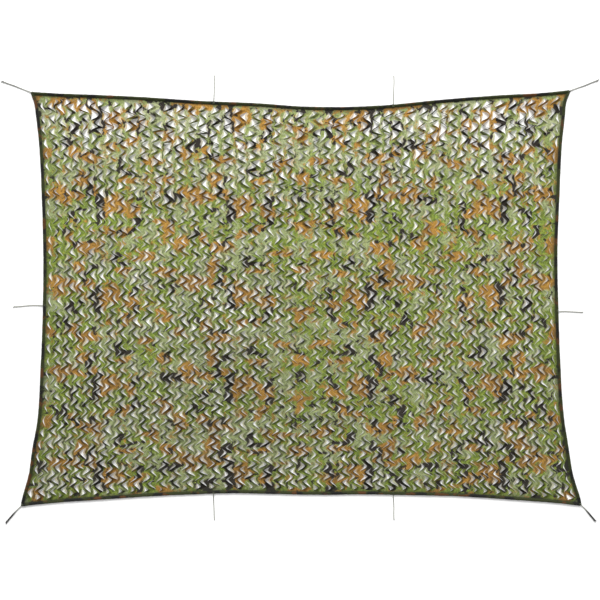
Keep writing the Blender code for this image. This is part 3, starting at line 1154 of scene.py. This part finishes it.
def stitches(starts, ends, radius):
    """Threads from starts to ends that dive into the cloth at both of their ends."""
    ahead = unit(ends - starts)
    aside = unit(np.cross(ahead, STRAIGHT_UP))
    shares, rises = np.array(STITCH_LINE).T
    angle = np.arange(THREAD_SIDES) / THREAD_SIDES * 2 * np.pi
    line = starts[:, None] + (ends - starts)[:, None] * shares[:, None]
    line[..., 2] += rises * radius
    rings = np.cos(angle)[:, None] * aside[:, None, None]
    rings = rings + np.sin(angle)[:, None] * STRAIGHT_UP
    points = (line[:, :, None] + radius * rings).reshape(-1, 3)

    def corner(ring, place):
        return ring * THREAD_SIDES + place % THREAD_SIDES

    last = len(shares) - 1
    one = [
        (corner(ring, k), corner(ring, k + 1), corner(ring + 1, k + 1), corner(ring + 1, k))
        for ring in range(last)
        for k in range(THREAD_SIDES)
    ]
    one.append(tuple(corner(0, k) for k in reversed(range(THREAD_SIDES))))
    one.append(tuple(corner(last, k) for k in range(THREAD_SIDES)))
    firsts = range(0, len(points), len(shares) * THREAD_SIDES)
    return points, [tuple(first + k for k in face) for first in firsts for face in one]


def seam(places, first, last):
    """The row of stitches that holds the folded binding on one side of the cloth."""
    length = places.length * (last - first)
    reach = first + np.arange(SEAM_START, length - SEAM_END, STITCH_PITCH) / places.length
    starts, ends = (
        at_height(places(reach + shift, BINDING_MIDDLE + SEAM_INSET), SEAM_HEIGHT)
        for shift in (0.0, STITCH_LENGTH / places.length)
    )
    return stitches(starts, ends, THREAD_RADIUS)


def bartack(route):
    """Stitches over the binding's rope where a tie is sewn in."""
    along = unit(np.array((*route[1], 0.0)) - np.array((*route[0], 0.0)))
    root = np.array((*route[0], 0.0)) - along * TACK_PLACE
    across = np.array((-along[1], along[0], 0.0))
    middles = []
    for offset in np.linspace(-TACK_HALF_WIDTH, TACK_HALF_WIDTH, TACK_STITCHES):
        height = BINDING_MIDDLE + math.sqrt(TACK_RADIUS**2 - offset**2)
        middles.append(root + along * offset + STRAIGHT_UP * height)
    reach = across * TACK_HALF_LENGTH
    return stitches(np.array(middles) - reach, np.array(middles) + reach, TACK_THREAD)


binding_material = binding_finish()
thread_material = thread_finish()
seams = []
# Columns: the side and its function, where its binding starts, its turn, and its noise's seed.
for side, places, first, turn, seed in (
    ("top", top_side, LONG_START, 1, 51),
    ("bottom", bottom_side, LONG_START, -1, 54),
    ("left", left_side, SHORT_START, -1, 52),
    ("right", right_side, SHORT_START, 1, 53),
):
    name = "binding_" + side
    points, faces = binding_points(places, first, 1 - first, turn, seed)
    fold = add_piece(name + "_fold", points, faces, binding_material)
    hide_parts(name)
    seams.append(seam(places, first, 1 - first))
tacks = [bartack(tie_route) for _, tie_route in TIES.values()]
for name, sewing in (("binding_seams", seams), ("tie_bartacks", tacks)):
    threads = add_piece(name, *joined(sewing), thread_material)

# ---------------------------------------------------------------- floor and light

HALF_FLOOR = 20.0
SKY_STRENGTH = 0.42

floor_points = [(x, y, 0.0) for x, y in ((-1, -1), (1, -1), (1, 1), (-1, 1))]
floor_mesh = bpy.data.meshes.new("floor")
floor_mesh.from_pydata((np.array(floor_points) * HALF_FLOOR).tolist(), [], [(0, 1, 2, 3)])
floor_mesh.materials.append(floor_finish())
placed("floor", floor_mesh)

world = bpy.data.worlds.new("studio")
world.use_nodes = True
sky = world.node_tree.nodes["Background"]
sky.inputs["Color"].default_value = (*WHITE, 1.0)
sky.inputs["Strength"].default_value = SKY_STRENGTH
bpy.context.scene.world = world


def add_lamp(name, place, aim, size, power):
    lamp = placed(name, bpy.data.lights.new(name, "AREA"))
    lamp.data.size = size
    lamp.data.energy = power
    lamp.location = place
    across, along, up = np.array(aim) - np.array(place)
    pitch, turn = math.atan2(math.hypot(across, along), -up), math.atan2(-across, along)
    lamp.rotation_euler = (pitch, 0.0, turn)
    lamp.visible_camera = False


add_lamp("key", place=(0.0, 9.4, 8.6), aim=(0.0, 0.0, 0.0), size=6.0, power=1860.0)
